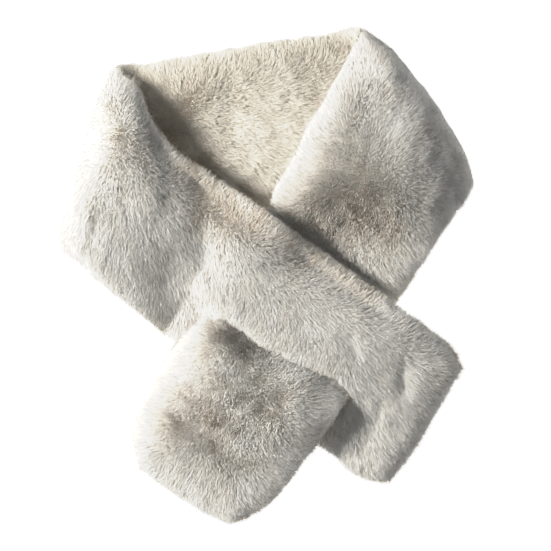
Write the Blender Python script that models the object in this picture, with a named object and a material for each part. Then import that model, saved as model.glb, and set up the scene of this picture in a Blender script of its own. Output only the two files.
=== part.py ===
"""Pull-through fur collar, lying folded and fastened.

One strip of cloth with fur on both sides runs from the free end of the slotted front, round the
left fold, along the neck, round the right fold, down the tie, up through the slit and out as the
pull tab.  Each stretch is two solids, the outer and the inner fur panel, which meet at the strip's
middle surface.  The outer panel faces up on the front, the tie and the tab, and down on the neck.

Plan positions are millimetres about the middle of the lying collar: x to the right, y away, z up.
"""

import math
from typing import NamedTuple

import bmesh
import bpy
import numpy as np

MM = 0.001

# Driving sizes, in millimetres.
STRIP_THICKNESS = 19.0      # both panels, from fur tip to fur tip
LAYER_RISE = 21.0           # from one lying layer's middle surface to the next one's
PRESSED_IN = 0.8            # how far the strip's weight presses its fur flat underneath
PANEL_GAP = 0.3             # between the two panels, and between neighbouring stretches
EDGE_ROUNDING = 34.0        # width over which the strip thins towards any edge
EDGE_POWER = 2.1            # 2 rounds it as an ellipse, more is squarer
EDGE_LIP = 1.0              # thickness left on each panel at the very edge
EDGE_SAG = 0.85             # how flat the thinning strip lies underneath, from 0, not at all, to 1
CROSSING_SAG = 0.2          # the same for the front's upper edge where it crosses the tie
SAG_FROM_SLIT = 14.0        # the tie lies flat from this far off the slit
SAG_WIDTH = 34.0            # and fully so after this distance more
FRONT_CORNERS = (28.0, 28.0)    # radii of the front's free end, at its upper and its lower edge
TAB_CORNERS = (46.0, 34.0)      # and of the tab's
SLIT_SHARE_AT_END = 0.60    # place of the slit across the front, near the front's free end
SLIT_SHARE_AT_START = 0.72  # and at its other end; 0 is the upper edge, 1 the lower
SLIT_OPENING = 21.0         # between the slit's lips where the tie parts them
SLIT_CLOSING = 25.0         # length over which the lips close at each end of the slit
FALL_INSIDE = 16.0          # a layer starts to come down this far inside the edge of the one below
FALL_OUTSIDE = 38.0         # and is down this far beyond it
TIE_FALL_OUTSIDE = 50.0     # the tie comes down off the neck more gently
END_FALL_OUTSIDE = 120.0    # and so does the front's free end off the tie
TIE_STEP_OUTSIDE = 60.0     # the front starts to climb onto the tie this far before it
SLIT_CLIMB = 20.0           # the tie climbs over this distance before and after its middle height
CLIMB_PAST_SLIT = 0.0       # half of which it has climbed this far past the slit's line
CROSSING_SLACK = 1.04       # the front crosses the tie this much looser than layers at a fold
BAND_SLACK = 1.13           # and the tab the front's lower band
LIP_LIFT = 4.5              # how far the climbing tie pushes up the slit's upper lip
LIP_LIFT_WIDTH = 34.0       # over this width of the front
FOLD_LAYERS = 1.9           # height of the crest beside a fold, in layers
FOLD_PINCH = 40.0           # distance from the fold's upper corner over which it gets that high
LOWER_FOLD_PINCH = 90.0     # and from its lower one
FOLD_REACH = 17.5           # how far a fold bulges sideways
FOLD_RELEASE = 102.0        # length over which the strip then settles
FOLD_STEEPENING = 0.45      # share of the settling that grows steeper away from the fold
STEP_ALONG = 17.0           # spacing of the sections along the strip
FOLD_STEPS = 7              # sections round each fold

HALF_THICKNESS = STRIP_THICKNESS / 2.0
RESTING_HEIGHT = HALF_THICKNESS - PRESSED_IN

# Places of the grid's lines across the strip: from the upper edge to the slit, and from the slit
# to the lower edge.  They crowd towards the edges, where the strip rounds off.
ACROSS_ABOVE_SLIT = np.array((0.0, 0.018, 0.06, 0.14, 0.27, 0.48, 0.72, 0.92, 1.0))
ACROSS_BELOW_SLIT = np.array((0.0, 0.25, 0.55, 0.82, 0.945, 1.0))

# Distances of the sections that shape a free end or an end of the slit.
END_STEPS = (0.0, 1.5, 5.0, 11.0, 20.0, 33.0)


class Section(NamedTuple):
    """A section across the strip, in plan.

    The upper edge is the one that runs along the top of the neck.  "bow" is how far the middle of
    the section stands off the straight line between its edges, to the left when looking from the
    upper edge to the lower one.
    """

    name: str
    upper_x: float
    upper_y: float
    lower_x: float
    lower_y: float
    bow: float


UPPER, LOWER, BOW = slice(0, 2), slice(2, 4), slice(4, 5)

FRONT = (
    Section("free_end", 160, -64, 91, -171, 4),
    Section("end_body", 131, -45, 64, -151, 0),
    Section("slit_end", 113, -32, 44, -134, 0),
    Section("slit_middle", 50, 13, -29, -99, 0),
    Section("slit_start", -1, 50, -70, -52, 0),
    Section("shoulder", -46, 75, -98, -30, 0),
    Section("turn_in", -75, 92, -119, -15, 0),
    Section("turn", -94, 118, -133, -5, 0),
    Section("left_fold", -101, 150, -142, 5, 0),
)
NECK = (
    Section("left_fold", -93, 163, -136, 25, 0),
    Section("middle", -21, 177, -2, 44, 0),
    Section("right_fold", 52, 187, 139, 66, 8),
)
TIE_AND_TAB = (
    Section("right_fold", 64, 171, 150, 49, 8),
    Section("slope", 34, 113, 123, 9, 0),
    Section("crossing", -2, 44, 100, -23, 0),
    Section("slit", -40, -24, 59, -73, 0),
    Section("dome", -60, -46, 64, -92, 0),
    Section("bulge", -81, -71, 48, -120, 0),
    Section("lower", -101, -113, 14, -166, -1),
    Section("free_end", -114, -136, -18, -203, -4),
)


# ---------------------------------------------------------------- plan curves

def section_row(table, name):
    """Position of the named section in its table."""
    return [section.name for section in table].index(name)


def smooth_sections(table, places):
    """Catmull-Rom curve through a table's numbers, at fractional row numbers."""
    values = np.array([section[1:] for section in table], dtype=float)
    padded = np.vstack([2 * values[0] - values[1], values, 2 * values[-1] - values[-2]])
    places = np.asarray(places, dtype=float)
    first = np.clip(np.floor(places).astype(int), 0, len(values) - 2)
    t = (places - first)[:, None]
    before, start, end, after = (padded[first + k] for k in range(4))
    return 0.5 * (
        2 * start
        + (end - before) * t
        + (2 * before - 5 * start + 4 * end - after) * t ** 2
        + (3 * start - before - 3 * end + after) * t ** 3
    )


def smooth_step(value):
    """0 below 0, 1 above 1, and an even ease between."""
    value = np.clip(value, 0.0, 1.0)
    return value * value * (3.0 - 2.0 * value)


def signed_distance(points, line):
    """Distance of plan points from a polyline, positive on its left-hand side."""
    start = line[:-1]
    along = line[1:] - start
    offset = points[..., None, :] - start
    share = np.clip((offset * along).sum(-1) / (along ** 2).sum(-1), 0.0, 1.0)
    gap = np.linalg.norm(offset - share[..., None] * along, axis=-1)
    nearest = gap.argmin(-1)[..., None]
    turn = along[:, 0] * offset[..., 1] - along[:, 1] * offset[..., 0]
    side = np.where(np.take_along_axis(turn, nearest, -1)[..., 0] < 0, -1.0, 1.0)
    return np.take_along_axis(gap, nearest, -1)[..., 0] * side


def extended(line, reach=60.0):
    """The polyline made longer at both ends, straight on."""
    head = line[0] - line[1]
    tail = line[-1] - line[-2]
    first = line[0] + head / np.linalg.norm(head) * reach
    last = line[-1] + tail / np.linalg.norm(tail) * reach
    return np.vstack([first, line, last])


def line_along(table, share, first, last):
    """Polyline along a stretch at a share of its width, between two of its sections."""
    places = np.linspace(section_row(table, first), section_row(table, last), 24)
    values = smooth_sections(table, places)
    share = np.broadcast_to(share, places.shape)[:, None]
    return values[:, UPPER] * (1 - share) + values[:, LOWER] * share


# ---------------------------------------------------------------- the slit

def slit_share(places):
    """Place of the slit's line across the front; past its ends it keeps its end value."""
    first, last = section_row(FRONT, "slit_end"), section_row(FRONT, "slit_start")
    run = np.clip((np.asarray(places, dtype=float) - first) / (last - first), 0.0, 1.0)
    return SLIT_SHARE_AT_END + (SLIT_SHARE_AT_START - SLIT_SHARE_AT_END) * run


SLIT = line_along(
    FRONT,
    slit_share(np.linspace(section_row(FRONT, "slit_end"), section_row(FRONT, "slit_start"), 24)),
    "slit_end",
    "slit_start",
)


def slit_parting(points):
    """0 past the slit's ends, 1 where its lips are fully apart."""
    length = np.linalg.norm(SLIT[-1] - SLIT[0])
    run = (points - SLIT[0]) @ ((SLIT[-1] - SLIT[0]) / length)
    return smooth_step(np.minimum(run, length - run) / SLIT_CLOSING)


def past_slit(points):
    """Distance beyond the slit's line, on the side of the front's lower edge."""
    return signed_distance(points, extended(SLIT))


# ---------------------------------------------------------------- heights, in layers

NECK_LOWER_EDGE = extended(line_along(NECK, 1.0, "left_fold", "right_fold"))
TIE_UPPER_EDGE = extended(line_along(TIE_AND_TAB, 0.0, "slope", "slit"))
TIE_LOWER_EDGE = extended(line_along(TIE_AND_TAB, 1.0, "slope", "slit"))
FRONT_LOWER_EDGE = extended(line_along(FRONT, 1.0, "slit_end", "slit_start"))


def held_up(inside, fall_outside=FALL_OUTSIDE):
    """How much a layer holds up what lies over it, at a distance inside its edge."""
    return smooth_step((inside + fall_outside) / (fall_outside + FALL_INSIDE))


def either(one, other):
    """Union of two supports, without the crease of a maximum."""
    return 1 - (1 - one) * (1 - other)


def neck_below(points, fall_outside=FALL_OUTSIDE):
    return held_up(signed_distance(points, NECK_LOWER_EDGE), fall_outside)


def tie_below(points):
    inside_upper = signed_distance(points, TIE_UPPER_EDGE)
    inside_lower = -signed_distance(points, TIE_LOWER_EDGE)
    return held_up(inside_upper, TIE_STEP_OUTSIDE) * held_up(inside_lower, END_FALL_OUTSIDE)


def lower_band_below(points):
    return held_up(-signed_distance(points, FRONT_LOWER_EDGE))


def slit_climb(points):
    """0 on the upper side of the slit, 1 on its lower side."""
    past_middle = past_slit(points) - CLIMB_PAST_SLIT
    return smooth_step((past_middle + SLIT_CLIMB) / (2 * SLIT_CLIMB))


def front_rise(points, below_slit):
    """Layers under the front: the neck, and the tie on the slit's upper side."""
    parting = slit_parting(points)
    off_tie = parting * below_slit + (1 - parting) * slit_climb(points)
    near_slit = smooth_step(1 + past_slit(points) / LIP_LIFT_WIDTH)
    lift = CROSSING_SLACK + LIP_LIFT / LAYER_RISE * near_slit
    under_tie = neck_below(points, TIE_FALL_OUTSIDE) * tie_below(points)
    over_tie = tie_below(points) * (1 - off_tie) * lift
    return either(neck_below(points), under_tie) + over_tie


def neck_rise(points, below_slit):
    """The neck lies on the ground."""
    return np.zeros(points.shape[:-1])


def tie_rise(points, below_slit):
    """Layers under the tie and the tab: the neck, then the front's lower band."""
    over_band = slit_climb(points) * lower_band_below(points) * BAND_SLACK
    return neck_below(points, TIE_FALL_OUTSIDE) + over_band


def sprung(run_from_fold):
    """1 where the strip stands up at its fold, and 0 where it has settled."""
    run = np.clip(run_from_fold / FOLD_RELEASE, 0.0, 1.0)
    return 1.0 - ((1.0 - FOLD_STEEPENING) * run + FOLD_STEEPENING * run ** 2)


def settled_height(rise, run_from_fold, from_upper, from_lower):
    """Height of the middle surface under the strip's full thickness."""
    upper_pinch = smooth_step((from_upper + run_from_fold) / FOLD_PINCH)
    pinch = upper_pinch * smooth_step((from_lower + run_from_fold) / LOWER_FOLD_PINCH)
    above = np.maximum(1 - rise, 0.0) + (FOLD_LAYERS - np.maximum(rise, 1.0)) * pinch
    return RESTING_HEIGHT + LAYER_RISE * (rise + sprung(run_from_fold) * np.maximum(above, 0.0))


# ---------------------------------------------------------------- sections along the strip

def run_along(table, places):
    """Length along a stretch's centre line at each section."""
    fine = np.linspace(places[0], places[-1], 400)
    values = smooth_sections(table, fine)
    centre = (values[:, UPPER] + values[:, LOWER]) / 2
    steps = np.linalg.norm(np.diff(centre, axis=0), axis=1)
    return np.interp(places, fine, np.concatenate([[0.0], np.cumsum(steps)]))


def section_places(table, crowded):
    """Places of a stretch's sections, closer together near the crowded ones."""
    dense = np.linspace(0, len(table) - 1, 600)
    run = run_along(table, dense)
    marks = set(np.interp(range(len(table)), dense, run))
    for name in crowded:
        middle = np.interp(section_row(table, name), dense, run)
        marks.update(middle + step for step in END_STEPS)
        marks.update(middle - step for step in END_STEPS)
    marks = sorted(mark for mark in marks if 0.0 <= mark <= run[-1])
    stations = [marks[0]]
    for mark in marks[1:]:
        pieces = max(1, round((mark - stations[-1]) / STEP_ALONG))
        stations.extend(np.linspace(stations[-1], mark, pieces + 1)[1:])
    return np.interp(stations, run, dense)


def corner_trim(end_run, radius):
    """How much a rounded corner of a free end takes off that side of the strip."""
    reach = np.clip(1 - end_run / radius, 0.0, 1.0)
    return radius * (1 - np.sqrt(1 - reach ** 2))


def half_thickness(edge):
    """Thickness of one panel at a distance from the strip's edge."""
    reach = np.clip(1 - edge / EDGE_ROUNDING, 0.0, 1.0)
    crown = (1 - reach ** EDGE_POWER) ** (1 / EDGE_POWER)
    return EDGE_LIP + (HALF_THICKNESS - EDGE_LIP) * crown


def sag(shares, edges):
    """How far the middle surface sinks, to lie flat underneath near each of its edges."""
    sinks = [share * (HALF_THICKNESS - half_thickness(edge)) for share, edge in zip(shares, edges)]
    return np.max(sinks, axis=0)


def lying_stretch(table, rise, crowded=(), free_end=None, fold_end=None, corners=(1.0, 1.0)):
    """Grid of a lying stretch: its middle surface, and each point's distance from an edge.

    The columns above the slit come first, then those below it.  free_end and fold_end say which
    of the stretch's ends, 0 or -1, is a rounded free end and which comes out of a fold.  corners
    are the free end's radii.
    """
    places = section_places(table, crowded)
    values = smooth_sections(table, places)
    run = run_along(table, places)
    to_free_end = np.abs(run - run[free_end]) if free_end is not None else np.full(run.shape, 1e6)
    from_fold = np.abs(run - run[fold_end]) if fold_end is not None else np.full(run.shape, 1e6)

    upper, lower, bow = values[:, UPPER], values[:, LOWER], values[:, BOW]
    full_width = np.linalg.norm(lower - upper, axis=1)[:, None]
    across = (lower - upper) / full_width
    upper_trim, lower_trim = (corner_trim(to_free_end, radius)[:, None] for radius in corners)
    upper, lower = upper + across * upper_trim, lower - across * lower_trim
    width = full_width - upper_trim - lower_trim
    ahead = np.stack([-across[:, 1], across[:, 0]], axis=1)[:, None]

    slotted = table is FRONT
    slit = slit_share(places) if slotted else np.full(places.shape, SLIT_SHARE_AT_START)
    slit_points = upper * (1 - slit[:, None]) + lower * slit[:, None]
    parting = slit_parting(slit_points) if slotted else np.zeros(places.shape)
    half_opening = (parting * SLIT_OPENING / 2)[:, None] / width
    slit = slit[:, None]
    parts = (
        (ACROSS_ABOVE_SLIT * (slit - half_opening), 0.0),
        (1 - (1 - ACROSS_BELOW_SLIT) * (1 - slit - half_opening), 1.0),
    )
    grids = []
    for share, below_slit in parts:
        plan = upper[:, None] * (1 - share[..., None]) + lower[:, None] * share[..., None]
        full_share = (upper_trim + share * width) / full_width
        plan = plan + ahead * (bow * 4 * full_share * (1 - full_share))[..., None]
        edges = [share * width, (1 - share) * width, to_free_end[:, None] + 0 * share]
        height = settled_height(rise(plan, below_slit), from_fold[:, None], edges[0], edges[1])
        upper_sag = EDGE_SAG + 0 * share
        flat = 1.0
        if slotted:
            upper_sag = EDGE_SAG + (CROSSING_SAG - EDGE_SAG) * tie_below(plan)
        if table is TIE_AND_TAB:
            flat = smooth_step((np.abs(past_slit(plan)) - SAG_FROM_SLIT) / SAG_WIDTH)
        height -= flat * sag((upper_sag, EDGE_SAG, EDGE_SAG), edges)
        edge = np.min(edges, axis=0)
        if slotted:
            lip = SLIT_OPENING / 2 * slit_parting(plan)
            edge = np.minimum(edge, np.maximum(np.abs(signed_distance(plan, SLIT)) - lip, 0.0))
        grids.append(np.concatenate([plan, height[..., None], edge[..., None]], axis=-1))
    return np.concatenate(grids, axis=1), parting > 0.0, places


def fold(before, after):
    """Grid of a fold, from a section lying on the ground to the one a layer above it.

    It turns outwards, away from the middle of the collar.
    """
    across = before[-1, 0:2] - before[0, 0:2]
    across = across / np.linalg.norm(across)
    outward = np.array((-across[1], across[0], 0.0, 0.0))
    middle = (before[:, 0:2] + after[:, 0:2]) / 2
    if (middle.mean(0) @ outward[0:2]) < 0:
        outward = -outward
    angle = np.linspace(0.0, math.pi, FOLD_STEPS + 1)[1:-1, None, None]
    share = angle / math.pi
    grid = before * (1 - share) + after * share + outward * FOLD_REACH * np.sin(angle)
    turned = (1 - np.cos(angle[..., 0])) / 2
    grid[..., 2] = before[:, 2] * (1 - turned) + after[:, 2] * turned
    return grid


# ---------------------------------------------------------------- the whole strip

def strip_grid():
    """Grid of the whole strip, its parted rows, and the first and last row of each stretch."""
    front, front_parted, _ = lying_stretch(
        FRONT,
        front_rise,
        ("free_end", "slit_end", "slit_start"),
        free_end=0,
        fold_end=-1,
        corners=FRONT_CORNERS,
    )
    neck, _, _ = lying_stretch(NECK, neck_rise)
    tie, _, tie_places = lying_stretch(
        TIE_AND_TAB, tie_rise, ("free_end",), free_end=-1, fold_end=0, corners=TAB_CORNERS
    )
    left_fold = fold(neck[0], front[-1])[::-1]
    right_fold = fold(neck[-1], tie[0])
    grid = np.concatenate([front, left_fold, neck, right_fold, tie])
    parted = np.zeros(len(grid), dtype=bool)
    parted[:len(front)] = front_parted

    front_end = len(front) - 1
    neck_start = front_end + len(left_fold) + 1
    neck_end = neck_start + len(neck) - 1
    tie_start = neck_end + len(right_fold) + 1
    tab_start = tie_start + int(np.abs(tie_places - section_row(TIE_AND_TAB, "slit")).argmin())
    rows = {
        "front": (0, front_end),
        "left_fold": (front_end, neck_start),
        "neck": (neck_start, neck_end),
        "right_fold": (neck_end, tie_start),
        "tie": (tie_start, tab_start),
        "tab": (tab_start, len(grid) - 1),
    }
    return grid, parted, rows


def corner_numbers(parted):
    """Number of the sheet's corner at each grid point; the slit's lips are one where it is shut."""
    columns = len(ACROSS_ABOVE_SLIT) + len(ACROSS_BELOW_SLIT)
    upper_lip = len(ACROSS_ABOVE_SLIT) - 1
    numbers = np.arange(len(parted) * columns).reshape(len(parted), columns)
    numbers[~parted, upper_lip + 1] = numbers[~parted, upper_lip]
    return numbers


def sheet_triangles(numbers, first_row, last_row):
    """The sheet's triangles between two rows, wound to face the outer panel's side."""
    upper_lip = len(ACROSS_ABOVE_SLIT) - 1
    triangles = []
    for i in range(first_row, last_row):
        for j in range(numbers.shape[1] - 1):
            if j != upper_lip:
                a, b = numbers[i, j], numbers[i + 1, j]
                c, d = numbers[i + 1, j + 1], numbers[i, j + 1]
                triangles += [(a, b, c), (a, c, d)]
    return triangles


def corner_normals(points, triangles):
    """Unit normal at each corner, from the triangles round it."""
    triangles = np.array(triangles)
    a, b, c = (points[triangles[:, k]] for k in range(3))
    facing = np.cross(b - a, c - a)
    normals = np.zeros_like(points)
    for k in range(3):
        np.add.at(normals, triangles[:, k], facing)
    length = np.linalg.norm(normals, axis=1)
    return normals / np.where(length > 0, length, 1.0)[:, None]


# ---------------------------------------------------------------- panels

def fur_material(name, colour):
    material = bpy.data.materials.new(name)
    material.use_nodes = True
    shader = material.node_tree.nodes["Principled BSDF"]
    shader.inputs["Base Color"].default_value = (*colour, 1.0)
    shader.inputs["Roughness"].default_value = 0.95
    shader.inputs["Metallic"].default_value = 0.0
    return material


def panel_solid(name, meeting, furry, triangles, material, collection):
    """A closed solid between two sheets that share their triangles."""
    used = sorted(set(np.ravel(triangles).tolist()))
    mesh = bmesh.new()
    number = mesh.verts.layers.int.new("number")
    corners = {}
    for index in used:
        corners[index] = mesh.verts.new(meeting[index] * MM)
        corners[index][number] = index
    for triangle in triangles:
        mesh.faces.new([corners[index] for index in triangle])
    grown = bmesh.ops.extrude_face_region(mesh, geom=mesh.faces[:], use_keep_orig=True)
    for part in grown["geom"]:
        if isinstance(part, bmesh.types.BMVert):
            part.co = furry[part[number]] * MM
    bmesh.ops.recalc_face_normals(mesh, faces=mesh.faces[:])
    bmesh.ops.triangulate(mesh, faces=mesh.faces[:])
    data = bpy.data.meshes.new(name)
    mesh.to_mesh(data)
    mesh.free()
    data.shade_smooth()
    data.set_sharp_from_angle(angle=math.radians(50))
    data.materials.append(material)
    piece = bpy.data.objects.new(name, data)
    collection.objects.link(piece)
    return piece


def seam_gap(points, numbers, first_row, last_row, free_rows):
    """The stretch's points, with its seams drawn back half a gap from the next stretch."""
    points = points.copy()
    for row, inner in ((first_row, first_row + 1), (last_row, last_row - 1)):
        if row in free_rows:
            continue
        inward = points[numbers[inner]] - points[numbers[row]]
        inward = inward / np.linalg.norm(inward, axis=1)[:, None]
        points[numbers[row]] += inward * PANEL_GAP / 2
    return points


def build_collar(collection):
    grid, parted, stretches = strip_grid()
    numbers = corner_numbers(parted)
    points = grid.reshape(-1, 4)[:, 0:3]
    edge = grid.reshape(-1, 4)[:, 3]
    last_row = len(grid) - 1
    normals = corner_normals(points, sheet_triangles(numbers, 0, last_row))
    thickness = half_thickness(edge)[:, None]
    materials = {
        1.0: fur_material("outer_fur", (0.74, 0.70, 0.64)),
        -1.0: fur_material("inner_fur", (0.70, 0.64, 0.55)),
    }
    pieces = []
    for stretch, (first, last) in stretches.items():
        triangles = sheet_triangles(numbers, first, last)
        middle = seam_gap(points, numbers, first, last, (0, last_row))
        for side, direction in (("outer", 1.0), ("inner", -1.0)):
            meeting = middle + normals * direction * PANEL_GAP / 2
            furry = middle + normals * direction * thickness
            for sheet in (meeting, furry):
                sheet[:, 2] = np.maximum(sheet[:, 2], 0.0)
            name = f"{stretch}_{side}"
            pieces.append(
                panel_solid(name, meeting, furry, triangles, materials[direction], collection)
            )
    return pieces


def stand_on_origin(pieces):
    """Bake the pieces so that the origin is under the middle of the whole."""
    corners = np.array([corner.co for piece in pieces for corner in piece.data.vertices])
    low, high = corners.min(0), corners.max(0)
    shift = -np.array(((low[0] + high[0]) / 2, (low[1] + high[1]) / 2, low[2]))
    for piece in pieces:
        for corner in piece.data.vertices:
            corner.co = np.array(corner.co) + shift


def main():
    for old in list(bpy.data.objects):
        bpy.data.objects.remove(old, do_unlink=True)
    collection = bpy.data.collections.new("fur_collar_wrap")
    bpy.context.scene.collection.children.link(collection)
    stand_on_origin(build_collar(collection))


main()
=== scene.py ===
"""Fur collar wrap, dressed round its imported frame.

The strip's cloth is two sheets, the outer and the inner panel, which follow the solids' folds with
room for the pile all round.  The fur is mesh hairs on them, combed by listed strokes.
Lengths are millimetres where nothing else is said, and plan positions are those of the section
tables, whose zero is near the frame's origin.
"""

import math
from typing import NamedTuple

import bpy
import numpy as np
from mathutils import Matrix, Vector
from mathutils.bvhtree import BVHTree
from numpy.linalg import norm


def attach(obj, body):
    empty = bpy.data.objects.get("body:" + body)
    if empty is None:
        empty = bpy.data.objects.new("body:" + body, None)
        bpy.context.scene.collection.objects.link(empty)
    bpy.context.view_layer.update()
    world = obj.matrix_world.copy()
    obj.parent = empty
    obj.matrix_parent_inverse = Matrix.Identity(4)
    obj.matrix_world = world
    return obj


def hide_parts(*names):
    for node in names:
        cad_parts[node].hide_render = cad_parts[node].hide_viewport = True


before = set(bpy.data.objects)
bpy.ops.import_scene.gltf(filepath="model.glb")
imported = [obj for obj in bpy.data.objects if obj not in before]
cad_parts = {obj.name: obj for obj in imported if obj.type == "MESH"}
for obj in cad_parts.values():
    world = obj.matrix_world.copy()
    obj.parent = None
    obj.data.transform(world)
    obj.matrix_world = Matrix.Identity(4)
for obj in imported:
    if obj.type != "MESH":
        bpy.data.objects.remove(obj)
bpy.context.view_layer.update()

MM = 0.001
SEED = 20261124

# The strip, as in the solids.
PLAN_MIDDLE = (1.29, -0.85)  # the frame's origin, in the plan of the section tables
STRIP_THICKNESS = 19.0  # both panels, from fur tip to fur tip
LAYER_RISE = 21.0  # from one lying layer's middle surface to the next one's
PRESSED_IN = 0.8  # how far the strip's weight presses its fur flat underneath
EDGE_ROUNDING = 34.0  # width over which the strip thins towards any edge
EDGE_POWER = 2.1  # 2 rounds it as an ellipse, more is squarer
EDGE_LIP = 1.0  # thickness left on each panel at the very edge
EDGE_SAG = 0.85  # how flat the thinning strip lies underneath, from 0 to 1
CROSSING_SAG = 0.2  # the same where the front's upper edge crosses the tie
SAG_FROM_SLIT = 14.0  # the tie lies flat from this far off the slit
SAG_WIDTH = 34.0  # and fully so after this distance more
FRONT_CORNERS = (28.0, 28.0)  # radii of the front's free end, at its upper and lower edge
TAB_CORNERS = (46.0, 34.0)  # and of the tab's
SLIT_SHARE_AT_END = 0.60  # the slit's place across the front, near the front's free end
SLIT_SHARE_AT_START = 0.72  # and at its other end; 0 is the upper edge, 1 the lower
SLIT_OPENING = 21.0  # between the slit's lips where the tie parts them
SLIT_CLOSING = 25.0  # length over which the lips close at each end of the slit
FALL_INSIDE = 16.0  # a layer starts to come down this far inside the edge below it
FALL_OUTSIDE = 38.0  # and is down this far beyond it
TIE_FALL_OUTSIDE = 50.0  # the tie comes down off the neck more gently
END_FALL_OUTSIDE = 120.0  # and so does the front's free end off the tie
TIE_STEP_OUTSIDE = 60.0  # the front starts to climb onto the tie this far before it
SLIT_CLIMB = 20.0  # the tie climbs over this distance on each side of the slit's line
CROSSING_SLACK = 1.04  # how loosely the front crosses the tie, 1 being close
BAND_SLACK = 1.13  # and the tab the front's lower band
LIP_LIFT = 4.5  # how far the tie pushes up the slit's upper lip
LIP_LIFT_WIDTH = 34.0  # over this width of the front
FOLD_LAYERS = 1.9  # height of the crest beside a fold, in layers
FOLD_PINCH = 40.0  # reached this far from the fold's upper corner
LOWER_FOLD_PINCH = 90.0  # and from its lower one
FOLD_REACH = 17.5  # how far a fold bulges sideways
FOLD_RELEASE = 102.0  # length over which the strip then settles
FOLD_STEEPENING = 0.45  # share of the settling that grows steeper away from the fold
HALF_THICKNESS = STRIP_THICKNESS / 2.0
RESTING_HEIGHT = HALF_THICKNESS - PRESSED_IN

# The cloth.
PILE_REACH = 7.5  # the cloth's edge is this far inside the fur's
LIP_REACH = 3.0  # and this far at the slit's lips
LIP_GAP = SLIT_OPENING / 2 + LIP_REACH  # from the slit's line
SKIN_HALF = 4.4  # half the thickness of the two cloths together
SKIN_ROUNDING = 30.0  # width over which they come together at the edge
SKIN_LIP = 0.25  # half the gap between them at the seam
RIM_RELIEF = 9.0  # width over which the creases fade at the edge
ROW_STEP = 4.0  # spacing of the sheets' rows along the strip
END_ROWS = np.array((0.5, 1.3, 2.5))  # more rows, this far inside a free end
COLUMNS_ABOVE_SLIT = 26
COLUMNS_BELOW_SLIT = 15
FOLD_STEPS = 12
STRETCH_STEPS = 1200  # points that place a stretch's rows
LENGTH_STEPS = 400  # and that measure its length
LINE_POINTS = 24  # points of a polyline along a stretch

# The fur.
HAIR_COUNT = 470000
HAIRS_A_PIECE = 95000  # keeps a piece under 200,000 triangles
PILE = 6.0  # height of the pile above the cloth
LONGEST_HAIR = 10.8
HAIR_WIDTH = 0.38  # at its widest
WIDEST = 0.55  # where that is, as a share of the length
HAIR_BOW = 0.09  # how far the hair bows there, as a share of the length
ROOT_DEPTH = 0.4  # how deep the hairs are set in the cloth
LOWEST_TIP = 0.4  # the floor bends the hairs this far above it
RIM_BAND = 7.0  # width along an edge where the hairs stand closer
RIM_DENSITY = 0.6  # and how much closer
COUNTED_AT = 0.6  # share of the pile's height where the fur is equally dense
LENGTH_SPREAD = 0.06
TUFT_LENGTH_SPREAD = 0.05
LENGTH_WAVE, LENGTH_WAVE_SPREAD = 22.0, 0.05
SHORT_SHARE = 0.2  # share of undercoat hairs
SHORT_LENGTHS = (0.55, 0.85)  # range of their lengths, as shares of the others'
CLUMP_SIZE = 1.5  # spacing of the tufts
CLUMP_SCATTER = 0.45  # how far their centres are off an even grid, in spacings
CLUMP_PULL = 0.22  # how far a tuft's tips draw together
CLUMP_PULL_MIDDLE = 0.35  # how much of that the hairs' widest places do
TUFT_DRAWS = 8192  # number of different tufts
SHUFFLE = (73856093, 19349663)  # large odd numbers that mix them
WAVE_COUNT = 24  # waves that add up to smooth noise
WAVE_PACES = (0.5, 1.3)  # range of their cycles over the bumps' size

# The comb.  A lean is the sideways reach of a hair's tip, as a share of its length.
STROKE_WIDTH = 17.0  # how far a stroke spreads
FAR_STROKES = 1e-4  # weight that a stroke keeps further off
COMB_PRESSURE = 1.16  # how much flatter than its strokes say the comb lays the fur
COMB_WAVE, COMB_WAVE_LEAN = 16.0, 0.06
UNDERCOAT_AND_SHADE_UPRIGHT = 0.5  # how much less hairs lean where the undercoat shows and where shade is painted
RIM_FAN = 24.0  # width over which the hairs turn outwards at an edge
RIM_TAKEOVER = 0.75  # how much of the comb's lean is lost there
RIM_LEAN = 0.80  # and how far they lean outwards
MOST_LEAN = 0.89
LEAST_RISE = 0.3  # keeps flat hairs' lengths finite
LEAN_SPREAD = 0.06
TUFT_LEAN_SPREAD = 0.05
HEADING_SPREAD = 0.05

# The hairs' light and tone.  A tone runs from 0, the darkest taupe, to 1, the lightest fur.
SLANT = 0.35  # how much a hair's own slope counts in the way it faces
RIM_SLANT = 0.4  # and at an edge
FACING_SPREAD = 0.08
TWIST_SPREAD = 0.3
ROUNDNESS = 1.5  # how far a hair's sides face away from each other
TONE = 0.76
TONE_SPREAD = 0.11
TUFT_TONE_SPREAD = 0.05
TONE_WAVE, TONE_WAVE_SPREAD = 30.0, 0.04
TONE_LIMITS = (0.02, 0.98)
TONE_STRIP = 0.004  # half the width of a hair's strip of the palette
UNDERCOAT_AND_SHADE_HAIRS = 0.65  # share of taupe hairs where the undercoat shows most, and where shade is painted darkest
UNDERCOAT_AND_SHADE_TONES = (0.6, 1.0)  # how much darker those are
UNDERCOAT_AND_SHADE_DIMMING = 0.22  # and how much darker the others are


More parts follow.
